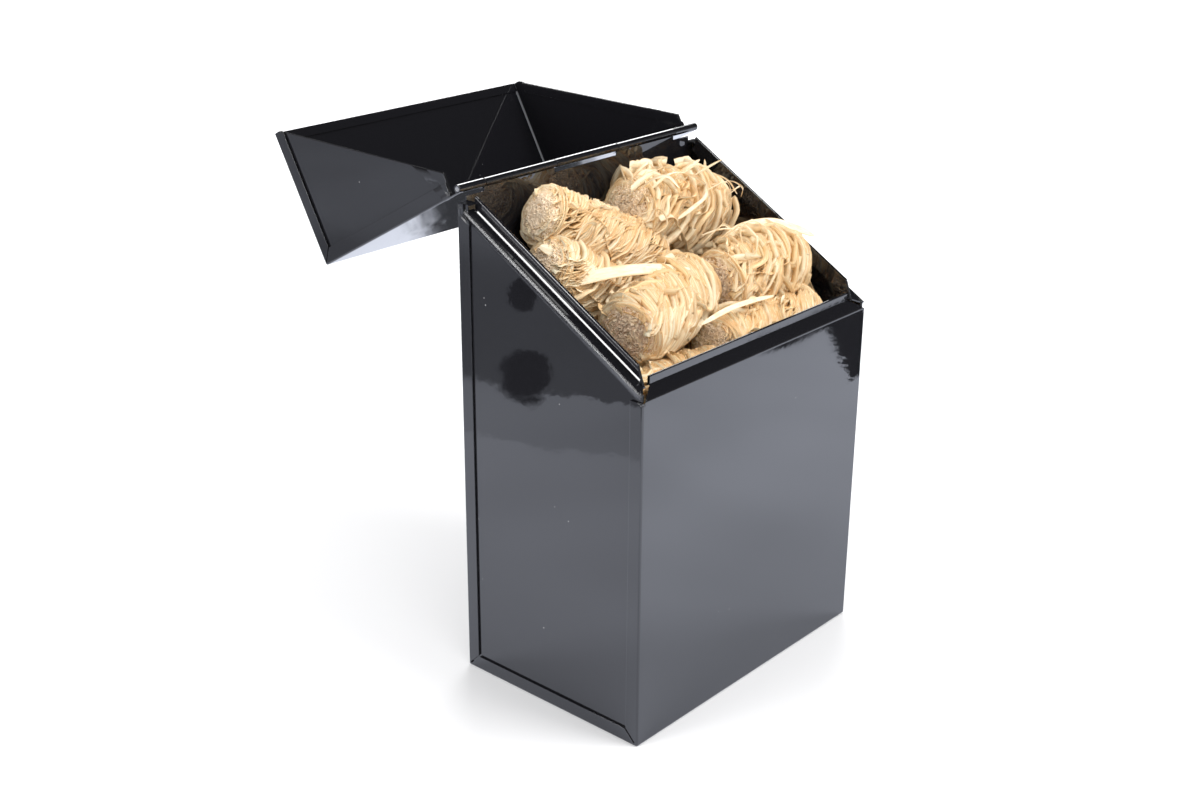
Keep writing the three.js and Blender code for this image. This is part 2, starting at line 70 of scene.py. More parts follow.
# ---- node graphs ------------------------------------------------------------
class Wire:
    """The output of a node, which takes Python arithmetic."""

    def __init__(self, graph, socket):
        self.graph = graph
        self.socket = socket

    def __getitem__(self, name):
        return Wire(self.graph, self.socket.node.outputs[name])

    def _math(self, operation, a, b):
        """One sum of two values, which is a sum of vectors where either is one."""
        vector = any(
            isinstance(x, (tuple, Vector)) or isinstance(x, Wire) and x.socket.type == "VECTOR"
            for x in (a, b)
        )
        kind = "ShaderNodeVectorMath" if vector else "ShaderNodeMath"
        return self.graph.make(kind, {"operation": operation}, {0: a, 1: b})

    def _of(self, operation):
        return self.graph.make("ShaderNodeMath", {"operation": operation}, {0: self})

    def __add__(self, other):
        return self._math("ADD", self, other)

    def __sub__(self, other):
        return self._math("SUBTRACT", self, other)

    def __rsub__(self, other):
        return self._math("SUBTRACT", other, self)

    def __mul__(self, other):
        return self._math("MULTIPLY", self, other)

    def __truediv__(self, other):
        return self._math("DIVIDE", self, other)

    def __neg__(self):
        return self * -1.0

    def __pow__(self, other):
        return self._math("POWER", self, other)

    def __gt__(self, other):
        return self._math("GREATER_THAN", self, other)

    __radd__ = __add__
    __rmul__ = __mul__

    def least(self, other):
        return self._math("MINIMUM", self, other)

    def most(self, other):
        return self._math("MAXIMUM", self, other)

    def sin(self):
        return self._of("SINE")

    def cos(self):
        return self._of("COSINE")

    def sign(self):
        return self._of("SIGN")

    def size(self):
        return self._of("ABSOLUTE")

    def root(self):
        return self._of("SQRT")

    def normalized(self):
        return self.graph.make("ShaderNodeVectorMath", {"operation": "NORMALIZE"}, {0: self})

    def scaled(self, factor):
        return self.graph.make("ShaderNodeVectorMath", {"operation": "SCALE"},
                               {0: self, "Scale": factor})

    def dot(self, other):
        return self.graph.make("ShaderNodeVectorMath", {"operation": "DOT_PRODUCT"},
                               {0: self, 1: other}, "Value")

    def ramp(self, low, high, to_low=0.0, to_high=1.0, smooth=True):
        """This value eased from low..high to to_low..to_high."""
        return self.graph.make(
            "ShaderNodeMapRange",
            {"interpolation_type": "SMOOTHSTEP" if smooth else "LINEAR"},
            {"Value": self, "From Min": low, "From Max": high, "To Min": to_low, "To Max": to_high},
        )

    def xyz(self):
        split = self.graph.make("ShaderNodeSeparateXYZ", {}, {0: self})
        return split["X"], split["Y"], split["Z"]


class Graph:
    """A node tree that is written as expressions."""

    def __init__(self, tree):
        self.tree = tree
        tree.nodes.clear()

    def make(self, kind, settings, inputs, output=0):
        node = self.tree.nodes.new(kind)
        for name, value in settings.items():
            setattr(node, name, value)
        for name, value in inputs.items():
            socket = node.inputs[name]
            if isinstance(value, Wire):
                self.tree.links.new(value.socket, socket)
                continue
            if socket.type == "RGBA" and len(value) == 3:
                value = (*value, 1.0)
            socket.default_value = value
        if not node.outputs:
            return node
        return Wire(self, node.outputs[output])

    def join(self, *parts):
        """Geometry of several wires together."""
        node = self.tree.nodes.new("GeometryNodeJoinGeometry")
        for part in parts:
            self.tree.links.new(part.socket, node.inputs[0])
        return Wire(self, node.outputs[0])

    def vector(self, x, y, z):
        return self.make("ShaderNodeCombineXYZ", {}, {"X": x, "Y": y, "Z": z})

    def mix(self, factor, a, b):
        """Colour a where factor is 0, b where it is 1."""
        node = self.tree.nodes.new("ShaderNodeMix")
        node.data_type = "RGBA"
        sockets = [s for s in node.inputs if s.type == "RGBA"]
        for socket, value in ((node.inputs[0], factor), (sockets[0], a), (sockets[1], b)):
            if isinstance(value, Wire):
                self.tree.links.new(value.socket, socket)
            else:
                socket.default_value = value if isinstance(value, float) else (*value, 1.0)
        return Wire(self, next(s for s in node.outputs if s.type == "RGBA"))

    def noise(self, place, scale, detail=2.0, roughness=0.5, distortion=0.0):
        return self.make("ShaderNodeTexNoise", {}, {
            "Vector": place, "Scale": scale, "Detail": detail, "Roughness": roughness,
            "Distortion": distortion}, "Fac")

    def cells(self, place, scale):
        return self.make(
            "ShaderNodeTexVoronoi", {}, {"Vector": place, "Scale": scale}, "Distance")

    def place(self):
        return self.make("ShaderNodeTexCoord", {}, {}, "Object")

    def stored(self, name, output="Fac"):
        return self.make("ShaderNodeAttribute", {"attribute_name": name}, {}, output)

    def bump(self, height, distance, strength=1.0, **more):
        return self.make("ShaderNodeBump", {}, {
            "Height": height, "Distance": distance, "Strength": strength, **more}, "Normal")

    def finish(self, colour, roughness, normal, **more):
        settings = {"Base Color": colour, "Roughness": roughness, "Normal": normal, **more}
        surface = self.make("ShaderNodeBsdfPrincipled", {}, settings)
        self.make("ShaderNodeOutputMaterial", {}, {"Surface": surface})


def material(name):
    found = bpy.data.materials.new(name)
    found.use_nodes = True
    return found, Graph(found.node_tree)


# ---- finishes -----------------------------------------------------------------
# The side sheets' rolled rims, in metres: the way square to the slanted mouth (forwards,
# up), from where to where they lie along it, and how far out to the sides
RIM_WAY = (0.5, 0.87)
RIM_FROM, RIM_TO = (0.1588, 0.1598), (0.1632, 0.1636)
RIM_OUT = 0.0758

# The painted highlight line down the open lid's inner right corner, in metres: the way across it
# (forwards, up), its place along that way, half its width, and how far right it lies
SEAM_GLINT_WAY, SEAM_GLINT_PLACE = (0.87, 0.49), 0.03406
SEAM_GLINT_HALF = (0.0003, 0.0005)
SEAM_GLINT_OUT = 0.0751

# Grey of the painted highlight line on the black lacquer
SEAM_GLINT_COLOUR = (0.30, 0.31, 0.33)
DUST_COLOUR = (0.32, 0.32, 0.33)
STEEL_BRIGHT, STEEL_DULL = (0.62, 0.62, 0.63), (0.46, 0.45, 0.44)
STREAK_COLOUR = (0.60, 0.30, 0.10)
# Dark brown of the painted shade on the deepest ribbons
DEEP_SHADE_COLOUR = (0.34, 0.17, 0.06)
SPECK_COLOUR = (0.20, 0.11, 0.06)
SHADE_COLOUR = (0.16, 0.085, 0.035)


def black_lacquer(settings):
    """Stoved gloss lacquer: sheet that isn't quite flat, a fine orange peel, folds that
    catch the light, a little dust and a painted highlight line down the open lid's inner right
    corner."""
    made, g = material("black_lacquer")
    place = g.place()
    waves = g.noise(place, 14.0, 1.0) * settings.waviness
    peel = g.noise(place, 420.0, 1.0) * settings.orange_peel
    rounded = g.make("ShaderNodeBevel", {"samples": 6}, {"Radius": settings.fold_edge})
    hem = g.make("ShaderNodeBevel", {"samples": 8}, {"Radius": settings.hem})
    x, y, z = place.xyz()
    rise = z * RIM_WAY[1] - y * RIM_WAY[0]
    at_rim = rise.ramp(*RIM_FROM) * rise.ramp(*RIM_TO, 1.0, 0.0) * (x.size() > RIM_OUT)
    normal = g.bump(waves + peel, 1.0, Normal=g.mix(at_rim, rounded, hem))
    speck = g.cells(place, 190.0).ramp(0.035, 0.055, 1.0, 0.0)
    dust = speck * (g.noise(place, 75.0, 0.0) > 1.0 - settings.dust)
    haze = g.noise(place, 30.0, 3.0, 0.6)
    # Painted highlight: a thin grey line down the open lid's inner right corner, where it would
    # catch the light
    seam_glint = (z * SEAM_GLINT_WAY[1] - y * SEAM_GLINT_WAY[0] + SEAM_GLINT_PLACE).size()
    seam_glint = seam_glint.ramp(*SEAM_GLINT_HALF, 1.0, 0.0) * (x > SEAM_GLINT_OUT)
    coat_and_glint = g.mix(seam_glint, tuple(settings.colour), SEAM_GLINT_COLOUR)
    g.finish(
        g.mix(dust, coat_and_glint, DUST_COLOUR),
        haze.ramp(0.35, 0.75, 0.02, 0.06) + dust * 0.5,
        normal,
        IOR=settings.ior,
    )
    return made


def bright_wire():
    """Drawn steel wire with fine lines along it."""
    made, g = material("bright_wire")
    place = g.place()
    lines = g.noise(place * (30.0, 2500.0, 2500.0), 1.0, 2.0)
    spots = g.noise(place, 900.0, 2.0)
    g.finish(g.mix(spots.ramp(0.4, 0.7), STEEL_BRIGHT, STEEL_DULL),
             spots.ramp(0.3, 0.8, 0.18, 0.38), g.bump(lines, 0.00002), Metallic=1.0)
    return made


def wool_ribbon(settings):
    """Pale softwood ribbons: each has its own tone, with grain along it, painted shade in tan
    along their edges, darker streaks and painted dark brown shade where the tone runs high."""
    made, g = material("wool_ribbon")
    place = g.place()
    tone, across = g.stored("tone"), g.stored("across")
    along, _, which = g.stored("run", "Vector").xyz()
    grain = g.noise(g.vector(along * 3.0, across * 11.0, which * 91.0), 1.0, 4.0, 0.65)
    patches = g.noise(place, 150.0, 3.0, 0.6)
    pale = g.mix(grain.ramp(0.40, 0.75), tuple(settings.pale), tuple(settings.straw))
    warm = g.mix(grain.ramp(0.35, 0.7), tuple(settings.straw), tuple(settings.tan))
    body = g.mix(tone.ramp(0.22, 0.90), pale, warm)
    worn = g.mix(patches.ramp(0.50, 0.72) * 0.55, body, tuple(settings.tan))
    # Painted shade: each ribbon's edges turn tan, as if shaded by its neighbours
    edge_shaded = g.mix(across.size().ramp(0.38, 0.5) * 0.75, worn, tuple(settings.tan))
    streak = g.noise(g.vector(along * 1.6, across * 21.0, which * 53.0), 1.0, 2.0, 0.6)
    streaked = g.mix(streak.ramp(0.62, 0.74) * 0.6, edge_shaded, STREAK_COLOUR)
    # Painted shade: where the tone runs past 0.95, which happens mostly for deeply sunk ribbons,
    # they turn dark brown
    wood = g.mix(tone.ramp(0.95, 1.15) * 0.75, streaked, DEEP_SHADE_COLOUR)
    fibres = g.noise(g.vector(along * 3.0, across * 15.0, which * 37.0), 1.0, 3.0, 0.6)
    g.finish(wood, fibres.ramp(0.3, 0.7, 0.55, 0.8), g.bump(fibres, 0.00016, 0.8))
    return made


def wool_end(settings):
    """Sawn ends of the strands: greyish pink, with dark specks between them."""
    made, g = material("wool_end")
    place = g.place()
    patches = g.noise(place, 130.0, 3.0, 0.6)
    fine = g.noise(place, 1500.0, 2.0, 0.6)
    body = g.mix(g.stored("tone").ramp(0.0, 1.0, smooth=False),
                 tuple(settings.end_pale), tuple(settings.end_dark))
    body = g.mix(patches.ramp(0.45, 0.75) * 0.5, body, tuple(settings.straw))
    specks = g.mix(fine.ramp(0.66, 0.72) * 0.5, body, SPECK_COLOUR)
    g.finish(specks, fine.ramp(0.3, 0.7, 0.75, 0.95), g.bump(fine, 0.0001, 0.7))
    return made


def wool_core(settings):
    """What lies deep between the ribbons: tan strands, brown with shade."""
    made, g = material("wool_core")
    place = g.place()
    strands = g.noise(place * (60.0, 900.0, 900.0), 1.0, 3.0, 0.6, 0.4)
    body = g.mix(strands.ramp(0.35, 0.65), SHADE_COLOUR, tuple(settings.tan))
    g.finish(body, strands.ramp(0.3, 0.7, 0.8, 0.95), g.bump(strands, 0.0006))
    return made


# Tones of the floor as the lacquer mirrors it, in metres. Ways are (to the right, back).
# On the left it darkens or brightens in bands: where each starts and is full, and by how much
LEFT_WAY = (-0.945, 0.336)
LEFT_BANDS = ((0.330, 0.333, 0.22), (0.409, 0.413, 0.53), (0.62, 0.72, -0.17))
# On the right in front it has a dark corner and a dark edge, which end at a brighter part
CORNER_WAY, CORNER_EDGE, CORNER_FRONT = (0.69, 0.727), (0.073, 0.076), (0.218, 0.222)
BRINK_FRONT, BRINK_SIDE = (0.2875, 0.2895), (0.33, 0.36)
BRIGHT_FRONT = (0.3025, 0.3035)
# And it has dark spots: middle in millimetres, the way the longer half-axis points in
# degrees, both half-axes in millimetres, and how dark
FLOOR_SPOTS = (
    ((-358.0, 285.0), 135.8, 58.0, 21.0, 0.97),
    ((-477.0, 403.0), 135.8, 46.0, 11.0, 0.97),
    ((305.0, 350.0), 20.0, 108.0, 60.0, 0.95),
)
BLACK = (0.0, 0.0, 0.0)
WHITE = (1.0, 1.0, 1.0)
PAPER_COLOUR = (0.84, 0.84, 0.85)
MIRRORED_PAPER = (0.91, 0.96, 1.11)


def white_paper():
    """White paper that glows a little far from the box, with darker parts that the lacquer
    mirrors and the camera doesn't see, among them a painted shadow in front of the box."""
    made, g = material("white_paper")
    place = g.place()
    x, y, _ = place.xyz()
    wobble = (g.noise(place, 9.0, 2.0) - 0.5) * 0.02
    jag = (g.noise(place, 190.0, 3.0, 0.7) - 0.5) * 0.026
    rag = (g.noise(place, 60.0, 3.0, 0.75) - 0.5) * 0.05
    front = -y
    left = y * LEFT_WAY[1] + x * LEFT_WAY[0] + wobble + rag * 0.8
    dark = 0.0
    for start, full, step in LEFT_BANDS:
        dark = left.ramp(start, full, 0.0, step) + dark
    corner = (x * CORNER_WAY[0] + y * CORNER_WAY[1] + jag).ramp(*CORNER_EDGE)
    corner = corner * (front + jag * 0.5).ramp(*CORNER_FRONT)
    brink = front.ramp(*BRINK_FRONT) * (x + jag).ramp(*BRINK_SIDE)
    dark = dark.most(corner.most(brink) * front.ramp(*BRIGHT_FRONT, 0.97, 0.0))
    for middle, heading, long_half, short_half, shade in FLOOR_SPOTS:
        turn = math.radians(heading)
        east, north = x - middle[0] * MM, y - middle[1] * MM
        along = (east * math.cos(turn) + north * math.sin(turn)) / (long_half * MM)
        aside = (north * math.cos(turn) - east * math.sin(turn)) / (short_half * MM)
        reach = (along * along + aside * aside).root() + rag * 14.0
        dark = dark.most(reach.ramp(0.70, 1.15, shade, 0.0))
    uneven = g.noise(place, 7.0, 1.0).ramp(0.3, 0.7, 0.90, 1.06)
    # Painted shadow, seen only in the lacquer's reflections: the paper is darker close in front of
    # the box, and a little darker to the left of it
    tone = front.ramp(0.06, 0.22, 0.75, 1.0) * uneven * (-x).ramp(0.08, 0.14, 1.0, 0.95)
    path = g.make("ShaderNodeLightPath", {}, {})
    seen, mirrored = path["Is Camera Ray"], path["Is Glossy Ray"]
    hue = g.mix(mirrored, PAPER_COLOUR, g.mix(tone, BLACK, MIRRORED_PAPER))
    paper = g.make("ShaderNodeBsdfDiffuse", {}, {"Color": g.mix(dark * (1.0 - seen), hue, BLACK)})
    far = (x * x + y * y).root().ramp(0.35, 1.5, 0.055, 0.5)
    glow = g.make("ShaderNodeEmission", {}, {
        "Color": WHITE, "Strength": seen * far + mirrored * (1.0 - dark) * 0.14})
    surface = g.make("ShaderNodeAddShader", {}, {0: paper, 1: glow})
    g.make("ShaderNodeOutputMaterial", {}, {"Surface": surface})
    return made


# ---- the wood wool ------------------------------------------------------------
WOOL_INPUTS = {
    "Solid": "Geometry", "Centre": "Vector", "Turn": "Vector", "Length": "Float",
    "Radius": "Float", "Ribbons": "Int", "Loose Ribbons": "Int", "Steps": "Int",
    "Ribbon Width": "Float", "Ribbon Thickness": "Float", "Twist": "Float",
    "Unruliness": "Float", "Proud": "Float", "Loft": "Float", "Loose Low": "Vector",
    "Loose High": "Vector", "Strand Ends": "Int", "Rings": "Int",
    "End Tone": "Float", "Seed": "Int", "Ribbon Finish": "Material",
    "End Finish": "Material", "Core Finish": "Material",
}

# The number of each random draw, which a roll's seed is added to. Each kind of ribbon has
# six more, which follow on from its own
DRAWS = {
    "wound depth": 3, "wound twist": 4, "wound lean": 6,
    "end side": 11, "end angle": 12, "end reach": 13, "end sunk": 14, "end tilt": 15,
    "end slant": 16, "end roll": 17, "end width": 18, "end thickness": 19, "end tone": 20,
    "loose twist": 21, "loose arch": 22, "loose lean": 23, "loose curl": 24,
    "ring side": 31, "ring reach": 32, "ring angle": 33, "ring span": 34, "ring sunk": 35,
    "ring tilt": 36, "ring tone": 37,
    "wound": 100, "loose": 200, "ring": 300,
}
SHARE, MIDDLE, ANGLE, BREADTH, TONE, GRAIN = range(6)

SWAY = 0.020                    # how far a ribbon strays along the roll, in metres
FLOW = 1.9                      # and round it, in radians
HEAVE = 0.003                   # how far a wound ribbon rises and falls, in metres
SUNK = 0.0022                   # how far in the deepest of them lie, in metres
CORE_DEPTH = 0.0011             # how far under the solid's surface the core lies, in metres
BLUNT, POINTED = (6.0, 0.6), (3.0, 0.88)  # how late and how far ribbons narrow to their tips
STUB = (0.0024, 0.001, 0.00026)  # a strand end's length, width and thickness in metres
CUT_FACING = 0.75               # how squarely a face of the solid looks along the roll


class WoolRoll:
    """Geometry Nodes that build one roll of wood wool in the space of its solid: flat
    ribbons wound round it, looser ones over them, arcs and strand ends on its two cut
    faces, and a core."""

    def __init__(self):
        self.tree = bpy.data.node_groups.new("wood_wool_roll", "GeometryNodeTree")
        self.g = Graph(self.tree)
        for name, kind in WOOL_INPUTS.items():
            self.tree.interface.new_socket(name, in_out="INPUT", socket_type=f"NodeSocket{kind}")
        self.tree.interface.new_socket("Roll", in_out="OUTPUT", socket_type="NodeSocketGeometry")
        self.get = self.g.make("NodeGroupInput", {}, {})
        parts = self.g.join(self.wound(), self.loose(), self.rings(), self.ends(), self.core())
        roll = self.g.make("GeometryNodeRealizeInstances", {}, {"Geometry": parts})
        self.g.make("NodeGroupOutput", {}, {"Roll": roll})

    def chance(self, draw, item, low, high, after=0):
        return self.g.make("FunctionNodeRandomValue", {"data_type": "FLOAT"}, {
            2: low, 3: high, "ID": item, "Seed": self.get["Seed"] + float(DRAWS[draw] + after)}, 1)

    def angle(self, draw, item, after=0):
        return self.chance(draw, item, 0.0, 2 * math.pi, after)

    def turned(self, vector):
        return self.g.make("ShaderNodeVectorRotate", {"rotation_type": "EULER_XYZ"}, {
            "Vector": vector, "Rotation": self.get["Turn"]})

    def round_it(self, angle):
        return self.g.vector(0.0, angle.cos(), angle.sin())

    def kept(self, geometry, name, kind, value, domain="POINT"):
        return self.g.make(
            "GeometryNodeStoreNamedAttribute", {"data_type": kind, "domain": domain},
            {"Geometry": geometry, "Name": name, "Value": value})

    def painted(self, geometry, finish):
        return self.g.make("GeometryNodeSetMaterial", {}, {
            "Geometry": geometry, "Material": self.get[finish]})

    def kept_in(self, place, limit):
        """A place, brought back where it is further out of the solid than the limit."""
        g, solid = self.g, self.get["Solid"]
        near = g.make("GeometryNodeProximity", {"target_element": "FACES"}, {
            0: solid, "Sample Position": place})
        facing = g.make("GeometryNodeSampleNearestSurface", {"data_type": "FLOAT_VECTOR"}, {
            "Mesh": solid, "Value": g.make("GeometryNodeInputNormal", {}, {}),
            "Sample Position": place})
        away = place - near["Position"]
        side = (away.dot(facing) > 0.0) * 2.0 - 1.0
        outward = (away.scaled(side) + facing.scaled(0.00001)).normalized()
        distance = (near["Distance"] * side).least(limit)
        return near["Position"] + outward.scaled(distance)

    def lines(self, count):
        """Many short lines, each line's number and the share of the way along it."""
        g = self.g
        line = g.make("GeometryNodeCurvePrimitiveLine", {}, {
            "Start": (0, 0, 0), "End": (0.01, 0, 0)})
        line = g.make("GeometryNodeResampleCurve", {}, {"Curve": line, "Count": self.get["Steps"]})
        many = g.make("GeometryNodeDuplicateElements", {"domain": "SPLINE"}, {
            "Geometry": line, "Amount": count})
        along = g.make("GeometryNodeSplineParameter", {}, {}, "Factor")
        return many, many["Duplicate Index"], along

    def flat(self, many, draw, place, outward, tone, breadths, stretch, taper=BLUNT):
        """Lines laid at their places and given the width of ribbons, which face outward.
        breadths are shares of the usual width, and stretch is how much grain they carry."""
        g, get = self.g, self.get
        item = many["Duplicate Index"]
        u = g.make("GeometryNodeSplineParameter", {}, {}, "Factor")
        line = g.make("GeometryNodeSetPosition", {}, {"Geometry": many, "Position": place})
        line = g.make("GeometryNodeSetCurveNormal", {"mode": "FREE"}, {
            "Curve": line, "Normal": outward})
        tips = 1.0 - ((u - 0.5) * 2.0).size() ** taper[0] * taper[1]
        broad = self.chance(draw, item, 0.0, 1.0, BREADTH)
        low, high = breadths
        line = g.make("GeometryNodeSetCurveRadius", {}, {
            "Curve": line, "Radius": (broad * broad * (high - low) + low) * tips})
        line = self.kept(line, "tone", "FLOAT", tone)
        line = self.kept(line, "run", "FLOAT_VECTOR", g.vector(
            u * stretch, 0.0, self.chance(draw, item, 0.0, 1.0, GRAIN)))
        profile = g.make("GeometryNodeCurvePrimitiveQuadrilateral", {}, {
            "Width": get["Ribbon Width"], "Height": get["Ribbon Thickness"]})
        across, _, _ = g.make("GeometryNodeInputPosition", {}, {}).xyz()
        profile = self.kept(profile, "across", "FLOAT", across / get["Ribbon Width"])
        mesh = g.make("GeometryNodeCurveToMesh", {}, {
            "Curve": line, "Profile Curve": profile, "Fill Caps": True})
        return self.painted(mesh, "Ribbon Finish")

    def ribbons(self, draw, count, shares, twist, rise, lean, depth, breadths, limit, walled=False):
        """Ribbons that run round and along the roll, each over a share of its length. twist,
        rise, lean and depth, which adds painted shade to the tone, darker the deeper a ribbon lies,
        are worked out from each ribbon's number and the share u of the way along it. limit is how
        far they stand out of the solid, and walled ones stay inside the box."""
        g, get = self.g, self.get
        many, item, u = self.lines(count)
        share = self.chance(draw, item, *shares, SHARE)
        middle = self.chance(draw, item, -0.5, 0.5, MIDDLE) * (1.0 - share)
        x = (middle + (u - 0.5) * share) * get["Length"]
        sway = g.noise(g.vector(u * 2.6, item * 3.17, get["Seed"] * 1.3), 1.0, 1.0) - 0.5
        x = x + sway * get["Unruliness"] * SWAY
        angle = self.angle(draw, item, ANGLE) + twist(item) * x
        flow = g.noise(g.vector(x * 42.0, angle.cos() * 0.9, angle.sin() * 0.9 + get["Seed"]),
                       1.0, 1.0) - 0.5
        angle = angle + flow * get["Unruliness"] * FLOW
        near_end = (x / (get["Length"] * 0.5)).size()
        full = (1.0 - near_end * near_end * 0.09) * near_end.ramp(0.86, 1.04, 1.0, 0.80)
        wave = g.noise(g.vector(u * 4.0, item * 5.31, get["Seed"] * 2.1), 1.0, 1.0) - 0.45
        reach = get["Radius"] * full + rise(item, u, wave)
        place = self.turned(g.vector(x, 0.0, 0.0) + self.round_it(angle).scaled(reach))
        place = self.kept_in(place + get["Centre"], limit)
        if walled:
            place = place.most(get["Loose Low"]).least(get["Loose High"])
        outward = self.turned(self.round_it(angle + lean(item, u, wave)))
        # The ribbon's tone: random, plus painted shade from how deep it lies
        shade = self.chance(draw, item, 0.0, 1.0, TONE) + depth(item)
        return self.flat(many, draw, place, outward, shade, breadths, share * 4.0,
                         POINTED if walled else BLUNT)

    def wound(self):
        """Flat ribbons side by side, in strands that bend together."""
        unruly = self.get["Unruliness"]

        def sunk(item):
            return self.chance("wound depth", item, 0.0, 1.0) ** 2.0

        return self.ribbons(
            "wound", self.get["Ribbons"], (0.25, 0.95),
            lambda item: self.get["Twist"] * (
                1.0 + self.chance("wound twist", item, -0.75, 0.55) * unruly),
            lambda item, u, wave: wave * unruly * HEAVE - sunk(item) * SUNK,
            lambda item, u, wave: self.chance("wound lean", item, -0.12, 0.12) + wave * 0.4,
            # Painted shade: the deeper a ribbon is sunk, the higher its tone, so the warmer and
            # darker it is
            lambda item: sunk(item) * 0.5 - 0.18,
            (0.55, 1.9), self.get["Proud"])

    def loose(self):
        """Paler ribbons that cross the others, arch off them and curl over."""
        return self.ribbons(
            "loose", self.get["Loose Ribbons"], (0.15, 0.55),
            lambda item: self.get["Twist"] * self.chance("loose twist", item, -0.8, 1.7),
            lambda item, u, wave: self.get["Loft"] * (
                wave * 1.1 + (u * math.pi).sin() * self.chance("loose arch", item, -0.3, 1.0)),
            lambda item, u, wave: self.chance("loose lean", item, -0.3, 0.3) + (
                u - 0.5) * self.chance("loose curl", item, -1.5, 1.5),
            lambda item: -0.12,
            (0.10, 1.25), self.get["Loft"], walled=True)

    def on_cut(self, side, out, drop, sunk, angle, reach):
        """Places on the two cut faces, which drop towards their edges."""
        dome = (1.0 - out ** 4.0 * drop) * 0.5
        x = side * (self.get["Length"] * dome - sunk)
        place = self.turned(self.g.vector(x, 0.0, 0.0) + self.round_it(angle).scaled(reach))
        return self.kept_in(place + self.get["Centre"], self.get["Proud"])

    def rings(self):
        """Ribbons whose edges show as arcs, one round another, on the two cut faces."""
        g, get = self.g, self.get
        many, item, u = self.lines(get["Rings"])
        side = self.chance("ring side", item, -1.0, 1.0).sign()
        out = self.chance("ring reach", item, 0.12, 1.0).root()
        angle = self.angle("ring angle", item) + u * self.chance("ring span", item, 0.7, 2.6)
        sway = g.noise(g.vector(u * 3.0, item * 2.71, get["Seed"] * 1.7), 1.0, 1.0) - 0.5
        place = self.on_cut(side, out, 0.10, -self.chance("ring sunk", item, -0.0022, -0.0002),
                            angle, (out + sway * 0.22) * get["Radius"])
        tilt = g.vector(side * self.chance("ring tilt", item, -0.2, 0.9), 0.0, 0.0)
        outward = self.turned(self.round_it(angle) + tilt)
        shade = self.chance("ring tone", item, 0.0, 0.9) + get["End Tone"] * 0.3
        return self.flat(many, "ring", place, outward, shade, (0.25, 1.0), 1.5)

    def ends(self):
        """Strand ends, packed over the two cut faces."""
        g, get = self.g, self.get
        spots = g.make("GeometryNodePoints", {}, {"Count": get["Strand Ends"]})
        item = g.make("GeometryNodeInputIndex", {}, {})
        side = self.chance("end side", item, -1.0, 1.0).sign()
        angle = self.angle("end angle", item)
        out = self.chance("end reach", item, 0.0, 1.0).root()
        place = self.on_cut(side, out, 0.11, self.chance("end sunk", item, 0.0, 1.0) * 0.0006,
                            angle, out * get["Radius"] * 0.9)
        spots = g.make("GeometryNodeSetPosition", {}, {"Geometry": spots, "Position": place})
        stub = g.make("GeometryNodeMeshCube", {}, {"Size": STUB})
        tilt, slant, roll = (
            self.chance(draw, item, -0.9, 0.9) for draw in ("end tilt", "end slant", "end roll"))
        bend = g.make("FunctionNodeAxesToRotation", {
            "primary_axis": "X", "secondary_axis": "Z"}, {
            "Primary Axis": self.turned(g.vector(side, tilt, slant)),
            "Secondary Axis": self.turned(self.round_it(angle + roll))})
        scale = g.vector(1.0, self.chance("end width", item, 0.4, 1.7),
                         self.chance("end thickness", item, 0.6, 1.5))
        stubs = g.make("GeometryNodeInstanceOnPoints", {}, {
            "Points": spots, "Instance": stub, "Rotation": bend, "Scale": scale})
        tone = self.chance(
            "end tone", g.make("GeometryNodeInputIndex", {}, {}), -0.5, 0.45) + get["End Tone"]
        stubs = self.kept(stubs, "tone", "FLOAT", tone, "INSTANCE")
        stubs = g.make("GeometryNodeRealizeInstances", {}, {"Geometry": stubs})
        return self.painted(stubs, "End Finish")

    def core(self):
        """What fills the roll, a little under the solid's surface, with pale cut faces."""
        g = self.g
        normal = g.make("GeometryNodeInputNormal", {}, {})
        cut = normal.dot(self.turned((1.0, 0.0, 0.0))).size() > CUT_FACING
        core = g.make("GeometryNodeSetPosition", {}, {
            "Geometry": self.get["Solid"], "Offset": normal.scaled(-CORE_DEPTH)})
        core = self.kept(core, "tone", "FLOAT", self.get["End Tone"] + 0.25, "FACE")
        core = self.painted(core, "Core Finish")
        return g.make("GeometryNodeSetMaterial", {}, {
            "Geometry": core, "Selection": cut, "Material": self.get["End Finish"]})


def merged_copy(name, source):
    """The CAD node's loose triangles as one closed mesh, in a new object."""
    mesh = bpy.data.meshes.new(name)
    numbers = {}
    faces = []
    for face in source.data.polygons:
        corners = [tuple(round(c, 6) for c in source.data.vertices[v].co) for v in face.vertices]
        indices = [numbers.setdefault(corner, len(numbers)) for corner in corners]
        if len(set(indices)) == 3:
            faces.append(indices)
    mesh.from_pydata(list(numbers), [], faces)
    mesh.update()
    return placed(name, mesh)


def settle(obj, tree, values):
    """Runs a Geometry Nodes tree on an object and leaves its plain mesh."""
    modifier = obj.modifiers.new(tree.name, "NODES")
    modifier.node_group = tree
    for item in tree.interface.items_tree:
        if item.in_out == "INPUT" and item.name in values:
            modifier[item.identifier] = values[item.name]
    bpy.context.view_layer.update()
    graph = bpy.context.evaluated_depsgraph_get()
    mesh = bpy.data.meshes.new_from_object(
        obj.evaluated_get(graph), preserve_all_data_layers=True, depsgraph=graph)
    obj.modifiers.remove(modifier)
    obj.data = mesh
    mesh.name = obj.name


